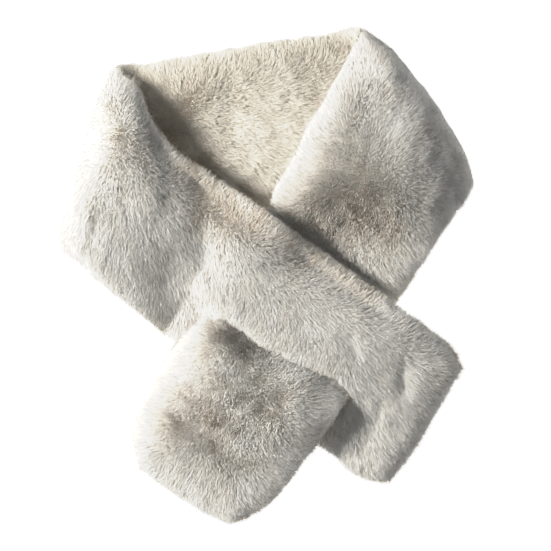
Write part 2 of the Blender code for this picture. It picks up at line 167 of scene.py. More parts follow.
# Sections across the strip, as (name, upper edge's x and y, lower edge's x and y, bow).  The upper
# edge is the one that runs along the top of the neck.  The bow is how far the middle stands off the
# straight line between the edges, to the left when looking from the upper edge to the lower one.
# The sections are the solids', but the front's upper edge stands out a little further, by its pile,
# from the shoulder to the turn.
FRONT = (
    ("free_end", 160, -64, 91, -171, 4),
    ("end_body", 131, -45, 64, -151, 0),
    ("slit_end", 113, -32, 44, -134, 0),
    ("slit_middle", 50, 13, -29, -99, 0),
    ("slit_start", -1, 50, -70, -52, 0),
    ("shoulder", -44, 79, -98, -30, 0),
    ("turn_in", -71, 98, -119, -15, 0),
    ("turn", -89, 121, -133, -5, 0),
    ("left_fold", -101, 150, -142, 5, 0),
)
NECK = (
    ("left_fold", -93, 163, -136, 25, 0),
    ("middle", -21, 177, -2, 44, 0),
    ("right_fold", 52, 187, 139, 66, 8),
)
TIE_AND_TAB = (
    ("right_fold", 64, 171, 150, 49, 8),
    ("slope", 34, 113, 123, 9, 0),
    ("crossing", -2, 44, 100, -23, 0),
    ("slit", -40, -24, 59, -73, 0),
    ("dome", -60, -46, 64, -92, 0),
    ("bulge", -81, -71, 48, -120, 0),
    ("lower", -101, -113, 14, -166, -1),
    ("free_end", -114, -136, -18, -203, -4),
)
UPPER, LOWER, BOW = slice(0, 2), slice(2, 4), slice(4, 5)


# ---- plan curves

def section_row(table, name):
    """Position of the named section in its table."""
    return [section[0] for section in table].index(name)


def smooth_sections(table, places):
    """Catmull-Rom curve through a table's numbers, at fractional row numbers."""
    values = np.array([section[1:] for section in table], dtype=float)
    padded = np.vstack([2 * values[0] - values[1], values, 2 * values[-1] - values[-2]])
    places = np.asarray(places, dtype=float)
    first = np.clip(np.floor(places).astype(int), 0, len(values) - 2)
    t = (places - first)[:, None]
    before, start, end, after = (padded[first + k] for k in range(4))
    return 0.5 * (
        2 * start
        + (end - before) * t
        + (2 * before - 5 * start + 4 * end - after) * t ** 2
        + (3 * start - before - 3 * end + after) * t ** 3
    )


def smooth_step(value):
    """0 below 0, 1 above 1, and an even ease between."""
    value = np.clip(value, 0.0, 1.0)
    return value * value * (3.0 - 2.0 * value)


def signed_distance(points, line):
    """Distance of plan points from a polyline, positive on its left-hand side."""
    start = line[:-1]
    along = line[1:] - start
    offset = points[..., None, :] - start
    share = np.clip((offset * along).sum(-1) / (along ** 2).sum(-1), 0.0, 1.0)
    gap = norm(offset - share[..., None] * along, axis=-1)
    nearest = gap.argmin(-1)[..., None]
    turn = along[:, 0] * offset[..., 1] - along[:, 1] * offset[..., 0]
    side = np.where(np.take_along_axis(turn, nearest, -1)[..., 0] < 0, -1.0, 1.0)
    return np.take_along_axis(gap, nearest, -1)[..., 0] * side


def extended(line, reach=60.0):
    """The polyline made longer at both ends, straight on."""
    head = line[0] - line[1]
    tail = line[-1] - line[-2]
    first = line[0] + head / norm(head) * reach
    last = line[-1] + tail / norm(tail) * reach
    return np.vstack([first, line, last])


def line_along(table, share, first, last):
    """Polyline along a stretch at a share of its width, between two of its sections."""
    places = np.linspace(section_row(table, first), section_row(table, last), LINE_POINTS)
    values = smooth_sections(table, places)
    share = np.broadcast_to(share, places.shape)[:, None]
    return values[:, UPPER] * (1 - share) + values[:, LOWER] * share


# ---- the slit

def slit_share(places):
    """Place of the slit's line across the front; past its ends it keeps its end value."""
    first, last = section_row(FRONT, "slit_end"), section_row(FRONT, "slit_start")
    run = np.clip((np.asarray(places, dtype=float) - first) / (last - first), 0.0, 1.0)
    return SLIT_SHARE_AT_END + (SLIT_SHARE_AT_START - SLIT_SHARE_AT_END) * run


SLIT_PLACES = np.linspace(
    section_row(FRONT, "slit_end"), section_row(FRONT, "slit_start"), LINE_POINTS
)
SLIT = line_along(FRONT, slit_share(SLIT_PLACES), "slit_end", "slit_start")


def slit_parting(points):
    """0 past the slit's ends, 1 where its lips are fully apart."""
    length = norm(SLIT[-1] - SLIT[0])
    run = (points - SLIT[0]) @ ((SLIT[-1] - SLIT[0]) / length)
    return smooth_step(np.minimum(run, length - run) / SLIT_CLOSING)


def past_slit(points):
    """Distance beyond the slit's line, on the side of the front's lower edge."""
    return signed_distance(points, extended(SLIT))


# ---- heights, in layers

NECK_LOWER_EDGE = extended(line_along(NECK, 1.0, "left_fold", "right_fold"))
TIE_UPPER_EDGE = extended(line_along(TIE_AND_TAB, 0.0, "slope", "slit"))
TIE_LOWER_EDGE = extended(line_along(TIE_AND_TAB, 1.0, "slope", "slit"))
FRONT_LOWER_EDGE = extended(line_along(FRONT, 1.0, "slit_end", "slit_start"))


def held_up(inside, fall_outside=FALL_OUTSIDE):
    """How much a layer holds up what lies over it, at a distance inside its edge."""
    return smooth_step((inside + fall_outside) / (fall_outside + FALL_INSIDE))


def either(one, other):
    """Union of two supports, without the crease of a maximum."""
    return 1 - (1 - one) * (1 - other)


def neck_below(points, fall_outside=FALL_OUTSIDE):
    return held_up(signed_distance(points, NECK_LOWER_EDGE), fall_outside)


def tie_below(points):
    inside_upper = signed_distance(points, TIE_UPPER_EDGE)
    inside_lower = -signed_distance(points, TIE_LOWER_EDGE)
    return held_up(inside_upper, TIE_STEP_OUTSIDE) * held_up(inside_lower, END_FALL_OUTSIDE)


def lower_band_below(points):
    return held_up(-signed_distance(points, FRONT_LOWER_EDGE))


def slit_climb(points):
    """0 on the upper side of the slit, 1 on its lower side."""
    return smooth_step((past_slit(points) + SLIT_CLIMB) / (2 * SLIT_CLIMB))


def front_rise(points, below_slit):
    """Layers under the front: the neck, and the tie on the slit's upper side."""
    parting = slit_parting(points)
    off_tie = parting * below_slit + (1 - parting) * slit_climb(points)
    near_slit = smooth_step(1 + past_slit(points) / LIP_LIFT_WIDTH)
    lift = CROSSING_SLACK + LIP_LIFT / LAYER_RISE * near_slit
    under_tie = neck_below(points, TIE_FALL_OUTSIDE) * tie_below(points)
    over_tie = tie_below(points) * (1 - off_tie) * lift
    return either(neck_below(points), under_tie) + over_tie


def neck_rise(points, below_slit):
    """The neck lies on the ground."""
    return np.zeros(points.shape[:-1])


def tie_rise(points, below_slit):
    """Layers under the tie and the tab: the neck, then the front's lower band."""
    over_band = slit_climb(points) * lower_band_below(points) * BAND_SLACK
    return neck_below(points, TIE_FALL_OUTSIDE) + over_band


def sprung(run_from_fold):
    """1 where the strip stands up at its fold, and 0 where it has settled."""
    run = np.clip(run_from_fold / FOLD_RELEASE, 0.0, 1.0)
    return 1.0 - ((1.0 - FOLD_STEEPENING) * run + FOLD_STEEPENING * run ** 2)


def settled_height(rise, run_from_fold, from_upper, from_lower):
    """Height of the middle surface under the strip's full thickness."""
    upper_pinch = smooth_step((from_upper + run_from_fold) / FOLD_PINCH)
    pinch = upper_pinch * smooth_step((from_lower + run_from_fold) / LOWER_FOLD_PINCH)
    above = np.maximum(1 - rise, 0.0) + (FOLD_LAYERS - np.maximum(rise, 1.0)) * pinch
    return RESTING_HEIGHT + LAYER_RISE * (rise + sprung(run_from_fold) * np.maximum(above, 0.0))


# ---- how the fur lies

# Strokes of the comb: where, and how far the tips lean there, as (x, y, lean in x, lean in y).
FRONT_STROKES = (
    (-148, 113, -0.75, -0.25), (-150, 66, -0.6, -0.55), (-136, 35, -0.25, -0.75),
    (-140, 4, -0.45, -0.7), (-128, 132, -0.3, 0.3), (-106, 130, 0.7, 0.1),
    (-111, 114, 0.1, -0.1), (-97, 93, 0.1, -0.1), (-84, 80, 0.15, -0.3),
    (-70, 89, 0.75, 0), (-50, 72, 0.75, 0.05), (-55, 64, 0.6, -0.4),
    (-85, 60, 0.1, -0.75), (-70, 50, 0.35, -0.7), (-100, 54, -0.05, -0.75),
    (-121, 58, -0.15, -0.7), (-60, 22, 0.45, -0.65), (-100, 13, 0.2, -0.75),
    (-130, 10, 0, -0.75), (-82, -28, 0.2, -0.7), (-35, 32, 0.1, -0.7),
    (-22, 38, 0.3, -0.4), (-10, 27, 0.7, -0.2), (-42, 10, 0.15, -0.7),
    (3, 19, 0.65, -0.2), (-12, 0, 0.1, -0.65), (8, -12, 0.15, -0.5),
    (18, 15, 0.75, 0.1), (38, -25, 0.35, -0.6), (57, -15, 0.75, -0.2),
    (43, 5, 0.7, 0.25), (67, -10, 0.75, 0.1), (57, -40, 0.5, -0.6),
    (38, -50, 0.4, -0.65), (18, -39, 0.15, -0.65), (85, -51, 0.45, -0.65),
    (98, -32, 0.75, -0.1), (121, -48, 0.75, -0.3), (138, -55, 0.75, -0.25),
    (121, -78, 0.6, -0.55), (138, -88, 0.65, -0.5), (101, -98, 0.55, -0.6),
    (90, -130, 0.5, -0.65), (70, -140, 0.3, -0.75), (85, -150, 0.4, -0.75),
    (59, -124, 0.1, -0.75), (63, -86, 0.45, -0.6),
)
TIE_STROKES = (
    (77, 177, 0.2, 0.4), (90, 160, 0.4, 0.5), (117, 131, 0.55, 0.5),
    (84, 131, 0.4, 0.5), (63, 121, -0.3, 0.3), (71, 101, 0.3, 0.35),
    (104, 110, 0.45, 0.5), (131, 107, 0.6, 0.4), (144, 83, 0.75, 0.05),
    (155, 77, 0.8, 0), (47, 90, -0.5, 0.2), (32, 77, -0.65, 0.1),
    (12, 66, -0.7, 0), (43, 58, -0.15, 0.1), (63, 58, 0, 0.1),
    (77, 63, 0.05, 0.15), (90, 43, 0, 0), (110, 57, 0.3, 0.1),
    (138, 57, 0.6, -0.15), (117, 29, 0.55, -0.45), (77, 23, 0.15, -0.5),
    (90, 10, 0.35, -0.6), (43, 36, 0, -0.3), (101, -4, 0.45, -0.6),
    (59, 39, 0, -0.05),
)
TAB_STROKES = (
    (-90, -85, -0.75, 0.1), (-101, -120, -0.75, -0.1), (-90, -149, -0.6, -0.5),
    (-61, -166, -0.35, -0.7), (-32, -183, -0.1, -0.8), (-10, -177, 0.35, -0.7),
    (13, -160, 0.5, -0.55), (30, -131, 0.6, -0.35), (47, -108, 0.75, -0.1),
    (59, -85, 0.8, 0.05), (53, -76, 0.5, 0.3), (-39, -103, 0, 0),
    (-15, -98, 0.05, -0.05), (2, -108, 0.1, 0), (-32, -142, 0, -0.3),
    (-11, -129, 0.1, -0.15), (2, -85, 0.25, -0.1), (-19, -64, 0.1, -0.5),
    (-42, -67, -0.25, -0.4), (-62, -55, -0.6, -0.1), (-25, -42, -0.45, -0.4),
    (-32, -20, -0.2, 0.5), (-46, -24, -0.6, 0.3), (-66, -35, -0.75, 0.1),
    (20, -71, 0.4, 0.2), (35, -67, 0.45, 0.4), (-66, -106, -0.3, -0.1),
)
NECK_STROKES = (
    (-63, 156, -0.54, 0.41), (-35, 144, 0.47, 0.14), (-22, 144, 0.68, 0.07),
    (8, 126, 0.81, 0), (28, 148, 0.61, 0.14), (37, 160, 0.41, 0.14),
    (51, 167, 0.68, 0.27), (-50, 167, 0.14, 0.81), (4, 177, 0.54, 0.68),
    (-89, 148, -0.81, 0.27), (-50, 113, 0.54, -0.27), (-11, 82, 0.68, -0.41),
    (-20, 110, 0.74, -0.14), (30, 110, 0.81, 0),
)

# Soft troughs along a line, or ridges where the depth is negative, as (x, y, end's x, end's y,
# width, depth).
FRONT_CREASES = (
    (-48, 70, -44, 16, 14, 4.2), (-141, 54, -147, 8, 20, -15.0), (-102, 114, -96, 60, 15, -4.5),
    (-70, 104, -4, 54, 19, 6.0), (40, 14, 92, -22, 15, 6.0), (156, -72, 106, -150, 26, -4.0),
    (63, -47, 68, -59, 5, 1.8), (102, -71, 104, -86, 4.5, 2.2), (88, -94, 84, -109, 5, 2.0),
    (80, -122, 76, -133, 4.5, 1.8), (120, -78, 133, -88, 8, -1.6),
)
TIE_CREASES = (
    (46, 140, 12, 74, 17, -3.5), (28, 46, 106, 36, 18, 3.4), (74, 22, 100, 4, 14, -2.4),
    (128, 108, 152, 66, 9, 1.6), (60, 118, 96, 78, 14, -1.5),
)
TAB_CREASES = (
    (-20, -38, 12, -62, 13, -7.0), (-36, -20, -66, -42, 12, -2.5), (26, -57, 43, -77, 6, 4.2),
    (-66, -106, -36, -118, 14, 1.6), (-32, -140, -18, -150, 9, 1.0), (26, -84, 16, -116, 15, -4.5),
)
NECK_CREASES = (
    (-28, 155, -28, 118, 7, 1.5), (34, 164, 40, 142, 10, 1.2),
)

# Places where the hairs are darker and taupe, as (x, y, radius, strength): where the undercoat
# shows, and painted shade where a note says so.
FRONT_PATCHES = (
    # The first eleven are painted shade, along the band where the front's upper edge rolls away
    # from the light, over the neck and the tie.
    (-85, 118, 8, 0.35), (-74, 98, 9, 0.45), (-60, 78, 13, 0.85),
    (-57, 42, 12, 0.6), (-48, 58, 15, 0.9), (-28, 48, 14, 0.9),
    (-8, 38, 13, 0.9), (14, 24, 12, 0.7), (36, 10, 12, 0.7),
    (58, -3, 12, 0.7), (78, -14, 12, 0.7), (-106, 107, 7, 0.25),
    (-96, 88, 6, 0.2), (-85, 80, 6, 0.2), (18, 4, 10, 0.25),
    (-66, -14, 8, 0.25),
)
TIE_PATCHES = (
    (45, 55, 20, 0.55), (70, 50, 22, 0.75), (98, 40, 18, 0.75),
    (30, 40, 16, 0.45), (60, 28, 14, 0.45), (90, 18, 14, 0.3),
)
TAB_PATCHES = (
    (-24, -35, 8, 0.85), (-36, -47, 7, 0.75), (-47, -60, 8, 0.65),
    (-62, -92, 12, 0.6), (-44, -108, 16, 0.8), (-66, -116, 12, 0.6),
    (-34, -134, 11, 0.6), (-14, -146, 10, 0.5), (28, -62, 8, 0.5),
    (50, -72, 6, 0.5),
)
NECK_PATCHES = (
    # The last four are painted shadow, in the neck's corner beside the front's upper edge.
    (35, 158, 12, 0.12), (-28, 140, 8, 0.1), (-94, 132, 15, 0.9),
    (-74, 110, 15, 0.9), (-48, 88, 13, 0.75), (-20, 68, 11, 0.6),
)


class Finish(NamedTuple):
    """What the comb, the folds, the undercoat and the painted shade do on one stretch of the strip.
    """

    strokes: tuple
    creases: tuple
    patches: tuple


FRONT_FINISH = Finish(FRONT_STROKES, FRONT_CREASES, FRONT_PATCHES)
TIE_FINISH = Finish(TIE_STROKES, TIE_CREASES, TIE_PATCHES)
FINISHES = {
    "front": FRONT_FINISH,
    "left_fold": FRONT_FINISH,
    "neck": Finish(NECK_STROKES, NECK_CREASES, NECK_PATCHES),
    "right_fold": TIE_FINISH,
    "tie": TIE_FINISH,
    "tab": Finish(TAB_STROKES, TAB_CREASES, TAB_PATCHES),
}


def combed(finish, plan):
    """Lean of the tips at plan points, between the strokes of the comb."""
    strokes = np.array(finish.strokes)
    gap = ((plan[:, None] - strokes[None, :, 0:2]) ** 2).sum(-1)
    weight = np.exp(-gap / (2 * STROKE_WIDTH ** 2)) + FAR_STROKES / (1 + gap / STROKE_WIDTH ** 2)
    return (weight[..., None] * strokes[None, :, 2:4]).sum(1) / weight.sum(1)[:, None]


def creased(finish, plan):
    """Height that the creases add at plan points."""
    height = np.zeros(plan.shape[:-1])
    for *line, width, depth in finish.creases:
        start = np.array(line[:2])
        along = np.array(line[2:]) - start
        offset = plan - start
        share = np.clip((offset @ along) / (along @ along), 0.0, 1.0)
        gap = ((offset - share[..., None] * along) ** 2).sum(-1)
        height -= depth * np.exp(-gap / width ** 2)
    return height


def undercoat_and_painted_shade(finish, plan):
    """How much the hairs darken at plan points, from 0 to 1, where the undercoat shows and where
    shade is painted.
    """
    hidden = np.ones(plan.shape[:-1])
    for x, y, radius, strength in finish.patches:
        gap = ((plan - (x, y)) ** 2).sum(-1)
        hidden *= 1 - strength * np.exp(-gap / radius ** 2)
    return 1 - hidden


def waves(rng, places, size):
    """Smooth noise of about unit spread, with bumps of the given size, over 2D places."""
    turn = rng.uniform(0, 2 * math.pi, WAVE_COUNT)
    pace = 2 * math.pi / size * rng.uniform(*WAVE_PACES, WAVE_COUNT)
    phase = rng.uniform(0, 2 * math.pi, WAVE_COUNT)
    run = places[:, 0:1] * np.cos(turn) + places[:, 1:2] * np.sin(turn)
    return np.sin(run * pace + phase).sum(1) * math.sqrt(2 / WAVE_COUNT)


# ---- the strip's middle surface

def run_along(table, places):
    """Length along a stretch's centre line at each section."""
    fine = np.linspace(places[0], places[-1], LENGTH_STEPS)
    values = smooth_sections(table, fine)
    centre = (values[:, UPPER] + values[:, LOWER]) / 2
    steps = norm(np.diff(centre, axis=0), axis=1)
    return np.interp(places, fine, np.concatenate([[0.0], np.cumsum(steps)]))


def corner_trim(end_run, radius):
    """How much a rounded corner of a free end takes off that side of the strip."""
    reach = np.clip(1 - end_run / radius, 0.0, 1.0)
    return radius * (1 - np.sqrt(1 - reach ** 2))


def half_thickness(edge):
    """Thickness of one panel, fur and all, at a distance from the strip's edge."""
    reach = np.clip(1 - edge / EDGE_ROUNDING, 0.0, 1.0)
    crown = (1 - reach ** EDGE_POWER) ** (1 / EDGE_POWER)
    return EDGE_LIP + (HALF_THICKNESS - EDGE_LIP) * crown


def sag(shares, edges):
    """How far the middle surface sinks, to lie flat underneath near each of its edges."""
    sinks = [share * (HALF_THICKNESS - half_thickness(edge)) for share, edge in zip(shares, edges)]
    return np.max(sinks, axis=0)


def skin_half(inside):
    """Half the thickness of the cloth body at a distance inside its own edge."""
    reach = np.clip(1 - inside / SKIN_ROUNDING, 0.0, 1.0)
    return SKIN_LIP + (SKIN_HALF - SKIN_LIP) * np.sqrt(1 - reach ** 2)


def crowded(count):
    """Numbers from 0 to 1 that crowd towards both ends."""
    return 0.5 - 0.5 * np.cos(np.linspace(0.0, math.pi, count))


def rim_pull(inside):
    """How much an edge turns the hairs outwards, at a distance inside the cloth's edge."""
    return 1 - smooth_step(inside / RIM_FAN)


def row_stations(length, free_end):
    """Places of the rows along a stretch, with more of them at its free end."""
    first = PILE_REACH if free_end == 0 else 0.0
    last = length - (PILE_REACH if free_end == -1 else 0.0)
    stations = np.linspace(first, last, round((last - first) / ROW_STEP) + 1)
    if free_end is None:
        return stations
    step = 1.0 if free_end == 0 else -1.0
    return np.sort(np.concatenate([stations, stations[free_end] + step * END_ROWS]))


def distance_from(end, stations, dense_run):
    """Distance of the rows from the stretch's first or last section, or far off both."""
    if end is None:
        return np.full(stations.shape, math.inf)
    return np.abs(stations - dense_run[end])


def edge_turn(edges, ways, plan, slot_way):
    """Distance inside the cloth's edge, and the direction in which the near edges turn the hairs.

    The ways lead out over the edges.  slot_way leads over the slit's lip, or is None without one.
    """
    gaps = [edge - PILE_REACH for edge, _ in zip(edges, ways)]
    pulls = [rim_pull(gap) for gap in gaps]
    if slot_way is not None:
        opening = slit_parting(plan)
        gaps.append(np.abs(signed_distance(plan, SLIT)) - opening * LIP_GAP)
        pulls.append(rim_pull(gaps[-1]) * opening)
        ways = [*ways, slot_way]
    inside = np.maximum(np.min(gaps, axis=0), 0.0)
    return inside, sum(pull[..., None] * way for pull, way in zip(pulls, ways))


def lying_stretch(table, rise, free_end=None, fold_end=None, corners=(1.0, 1.0)):
    """Grid of a lying stretch of the cloth, with the radii of its free end's corners.

    A grid point's numbers are the middle surface's place, the distance inside the cloth's edge, the
    distance from the upper edge, and the plan direction in which the near edges turn the hairs.
    """
    dense = np.linspace(0, len(table) - 1, STRETCH_STEPS)
    dense_run = run_along(table, dense)
    stations = row_stations(dense_run[-1], free_end)
    places = np.interp(stations, dense_run, dense)
    values = smooth_sections(table, places)
    to_free_end = distance_from(free_end, stations, dense_run)[:, None]
    from_fold = distance_from(fold_end, stations, dense_run)[:, None]

    upper, lower, bow = values[:, UPPER], values[:, LOWER], values[:, BOW]
    full_width = norm(lower - upper, axis=1)[:, None]
    across = (lower - upper) / full_width
    upper_trim, lower_trim = (corner_trim(to_free_end, radius) for radius in corners)
    upper, lower = upper + across * upper_trim, lower - across * lower_trim
    width = full_width - upper_trim - lower_trim
    across = across[:, None]
    ahead = np.stack([-across[..., 1], across[..., 0]], axis=-1)

    slotted = table is FRONT
    slit = (slit_share(places) if slotted else np.full(places.shape, SLIT_SHARE_AT_START))[:, None]
    parting = slit_parting(upper * (1 - slit) + lower * slit) if slotted else np.zeros(places.shape)
    half_opening = (parting * LIP_GAP)[:, None] / width
    inset = PILE_REACH / width
    parts = (
        (inset + crowded(COLUMNS_ABOVE_SLIT) * (slit - half_opening - inset), 0.0),
        (1 - inset - (1 - crowded(COLUMNS_BELOW_SLIT)) * (1 - slit - half_opening - inset), 1.0),
    )
    ways = [-across, across]
    if free_end is not None:
        ways.append(ahead if free_end == 0 else -ahead)
    grids = []
    for share, below_slit in parts:
        plan = upper[:, None] * (1 - share[..., None]) + lower[:, None] * share[..., None]
        full_share = (upper_trim + share * width) / full_width
        plan = plan + ahead * (bow * 4 * full_share * (1 - full_share))[..., None]
        edges = [share * width, (1 - share) * width, to_free_end + 0 * share]
        height = settled_height(rise(plan, below_slit), from_fold, edges[0], edges[1])
        upper_sag = EDGE_SAG
        flat = 1.0
        if slotted:
            upper_sag = EDGE_SAG + (CROSSING_SAG - EDGE_SAG) * tie_below(plan)
        if table is TIE_AND_TAB:
            flat = smooth_step((np.abs(past_slit(plan)) - SAG_FROM_SLIT) / SAG_WIDTH)
        height -= flat * sag((upper_sag, EDGE_SAG, EDGE_SAG), edges)
        slot_way = across * (1 - 2 * below_slit) if slotted else None
        inside, rim = edge_turn(edges, ways, plan, slot_way)
        columns = [plan, height[..., None], inside[..., None], edges[0][..., None], rim]
        grids.append(np.concatenate(columns, axis=-1))
    return np.concatenate(grids, axis=1), parting > 0.0, places


def fold(before, after):
    """Grid of a fold, from a section on the ground to one a layer above it, turning outwards."""
    across = before[-1, 0:2] - before[0, 0:2]
    across = across / norm(across)
    outward = np.zeros(before.shape[1])
    outward[0:2] = (-across[1], across[0])
    if (before[:, 0:2] + after[:, 0:2]).mean(0) @ outward[0:2] < 0:
        outward = -outward
    angle = np.linspace(0.0, math.pi, FOLD_STEPS + 1)[1:-1, None, None]
    share = angle / math.pi
    grid = before * (1 - share) + after * share + outward * FOLD_REACH * np.sin(angle)
    turned = (1 - np.cos(angle[..., 0])) / 2
    grid[..., 2] = before[:, 2] * (1 - turned) + after[:, 2] * turned
    return grid


def strip_grid():
    """Grid of the cloth's middle surface, its parted rows, and the stretches' first and last."""
    front, front_parted, _ = lying_stretch(
        FRONT, front_rise, free_end=0, fold_end=-1, corners=FRONT_CORNERS
    )
    neck, _, _ = lying_stretch(NECK, neck_rise)
    tie, _, tie_places = lying_stretch(
        TIE_AND_TAB, tie_rise, free_end=-1, fold_end=0, corners=TAB_CORNERS
    )
    left_fold = fold(neck[0], front[-1])[::-1]
    right_fold = fold(neck[-1], tie[0])
    grid = np.concatenate([front, left_fold, neck, right_fold, tie])
    parted = np.zeros(len(grid), dtype=bool)
    parted[:len(front)] = front_parted
    tab_row = int(np.abs(tie_places - section_row(TIE_AND_TAB, "slit")).argmin())
    lying = len(front) - 1, len(neck) - 1
    folded = len(left_fold) + 1, len(right_fold) + 1
    steps = (0, lying[0], folded[0], lying[1], folded[1], tab_row, len(tie) - 1 - tab_row)
    ends = np.cumsum(steps).tolist()
    rows = dict(zip(FINISHES, zip(ends, ends[1:])))
    return grid, parted, rows


# ---- the two cloths

UPPER_LIP = COLUMNS_ABOVE_SLIT - 1
SIDES = {"outer": 1.0, "inner": -1.0}


class Sheet(NamedTuple):
    """One side's cloth on the strip's grid of corners."""

    points: np.ndarray
    normals: np.ndarray
    smooth_points: np.ndarray
    smooth_normals: np.ndarray


def corner_numbers(parted):
    """Number of the sheet's corner at each grid point; the slit's lips are one where it is shut."""
    columns = COLUMNS_ABOVE_SLIT + COLUMNS_BELOW_SLIT
    numbers = np.arange(len(parted) * columns).reshape(len(parted), columns)
    numbers[~parted, UPPER_LIP + 1] = numbers[~parted, UPPER_LIP]
    return numbers


def sheet_quads(numbers):
    """Corners of the quads between neighbouring rows and columns, by row and column."""
    corners = (numbers[:-1, :-1], numbers[1:, :-1], numbers[1:, 1:], numbers[:-1, 1:])
    return np.delete(np.stack(corners, axis=-1), UPPER_LIP, axis=1)


def corner_normals(points, quads):
    """Unit normal at each corner, from the quads round it."""
    corners = quads.reshape(-1, 4)
    a, b, c, d = (points[corners[:, k]] for k in range(4))
    facing = np.cross(c - a, d - b)
    normals = np.zeros_like(points)
    for k in range(4):
        np.add.at(normals, corners[:, k], facing)
    length = norm(normals, axis=1)
    return normals / np.where(length > 0, length, 1.0)[:, None]


def cloth_sheet(grid, numbers, quads, stretches, direction):
    """One side's cloth, with and without its creases."""
    points = grid.reshape(-1, grid.shape[-1])
    middle, inside = points[:, 0:3], points[:, 3]
    normals = corner_normals(middle, quads)
    out = normals * direction * skin_half(inside)[:, None]
    relief = np.zeros(len(points))
    for stretch, (first, last) in stretches.items():
        rows = numbers[first:last + 1].ravel()
        relief[rows] = creased(FINISHES[stretch], middle[rows, 0:2])
        if stretch.endswith("fold"):
            relief[rows] *= smooth_step((middle[rows, 2] - RESTING_HEIGHT) / LAYER_RISE)
    smooth = middle + out
    raised = smooth.copy()
    raised[:, 2] += relief * smooth_step(inside / RIM_RELIEF)
    return Sheet(
        raised,
        corner_normals(raised, quads) * direction,
        smooth,
        corner_normals(smooth, quads) * direction,
    )


def linked(name, data):
    """A new object in the scene."""
    thing = bpy.data.objects.new(name, data)
    bpy.context.collection.objects.link(thing)
    return thing


def cloth_piece(name, sheet, quads, direction, origin):
    """The mesh of one side's cloth."""
    corners = quads.reshape(-1, 4)
    if direction < 0:
        corners = corners[:, ::-1]
    used, corners = np.unique(corners, return_inverse=True)
    points = (sheet.points[used] + origin) * MM
    mesh = bpy.data.meshes.new(name)
    mesh.from_pydata(points.tolist(), [], corners.reshape(-1, 4).tolist())
    mesh.shade_smooth()
    return linked(name, mesh)


# ---- fur

SKY_RAYS = 32
LOWEST_RAY = 0.03
SHALLOW = 0.005  # metres; the solids' flat facets bridge hollows by less
PEEP_OUT = 1.0  # exposure is felt this far outside the pile
HIDDEN_BELOW = 0.02  # share of free rays under which there is no fur
SHOWN_ABOVE = 0.14  # and from which it is full


def sky_directions():
    """Evenly spread directions over the upper half of a sphere."""
    number = np.arange(SKY_RAYS) + 0.5
    height = LOWEST_RAY + (1 - LOWEST_RAY) * number / SKY_RAYS
    turn = number * math.pi * (1 + math.sqrt(5))
    flat = np.sqrt(1 - height ** 2)
    return [Vector(ray) for ray in zip(flat * np.cos(turn), flat * np.sin(turn), height)]


def solid_tree():
    """Ray-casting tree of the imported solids."""
    corners, faces = [], []
    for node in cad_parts.values():
        start = len(corners)
        corners.extend(corner.co for corner in node.data.vertices)
        faces.extend([start + k for k in face.vertices] for face in node.data.polygons)
    return BVHTree.FromPolygons(corners, faces)


def is_clear(tree, tip, ray):
    """Whether a ray gets past the solids, also from just inside the solid that it starts on."""
    hit, facing, _, distance = tree.ray_cast(tip, ray)
    if hit is not None and facing.dot(ray) > 0 and distance < SHALLOW:
        hit = tree.ray_cast(hit + ray * SHALLOW / 100, ray)[0]
    return hit is None


def exposure(sheet, origin, tree):
    """Share of the sky that each corner's fur sees past the solids."""
    rays = sky_directions()
    tips = (sheet.smooth_points + sheet.smooth_normals * (PILE + PEEP_OUT) + origin) * MM
    seen = np.zeros(len(tips))
    for k, tip in enumerate(tips.tolist()):
        tip = Vector(tip)
        seen[k] = sum(is_clear(tree, tip, ray) for ray in rays)
    return seen / SKY_RAYS


def between_corners(values, quads, cell, along, across):
    """Values at places inside cells, from those at the cells' corners."""
    a, b, c, d = (values[quads[cell, k]] for k in range(4))
    if values.ndim > 1:
        along, across = along[:, None], across[:, None]
    return (a * (1 - along) + b * along) * (1 - across) + (d * (1 - along) + c * along) * across


def unit(vectors):
    length = norm(vectors, axis=1)[:, None]
    return vectors / np.maximum(length, 1e-9)


def nearest_clump(rng, places):
    """For each place on the strip, its tuft's centre and the tuft's own random numbers."""
    table = rng.uniform(-1.0, 1.0, (TUFT_DRAWS, 6))
    cell = np.floor(places / CLUMP_SIZE).astype(np.int64)
    best = np.full(len(places), np.inf)
    centre = np.zeros_like(places)
    numbers = np.zeros((len(places), 4))
    for i in (-1, 0, 1):
        for j in (-1, 0, 1):
            near = cell + (i, j)
            draw = table[(near[:, 0] * SHUFFLE[0] ^ near[:, 1] * SHUFFLE[1]) % TUFT_DRAWS]
            middle = (near + 0.5 + CLUMP_SCATTER * draw[:, 0:2]) * CLUMP_SIZE
            gap = ((places - middle) ** 2).sum(1)
            closer = gap < best
            best[closer] = gap[closer]
            centre[closer] = middle[closer]
            numbers[closer] = draw[closer, 2:6]
    return centre, numbers


def hair_headings(rng, lean, normal):
    """Unit direction of hairs with a lean in plan, on cloth with a normal."""
    size = norm(lean, axis=1)
    lean = lean * (np.minimum(size, MOST_LEAN) / np.maximum(size, 1e-9))[:, None]
    size = np.minimum(size, MOST_LEAN)
    flat = np.concatenate([lean, np.zeros((len(lean), 1))], axis=1)
    flat -= (flat * normal).sum(1)[:, None] * normal
    heading = normal * np.sqrt(1 - size ** 2)[:, None] + flat
    return unit(heading + rng.normal(scale=HEADING_SPREAD, size=heading.shape))


def hair_lengths(rng, rise, place, tuft):
    """Lengths that bring the tips up to the pile's height, and the undercoat's shorter ones."""
    count = len(rise)
    length = np.minimum(PILE / np.maximum(rise, LEAST_RISE), LONGEST_HAIR)
    spread = 1 + TUFT_LENGTH_SPREAD * tuft[:, 2] + LENGTH_SPREAD * rng.uniform(-1, 1, count)
    length *= spread + LENGTH_WAVE_SPREAD * waves(rng, place, LENGTH_WAVE)
    short = rng.random(count) < SHORT_SHARE
    return length * np.where(short, rng.uniform(*SHORT_LENGTHS, count), 1.0)


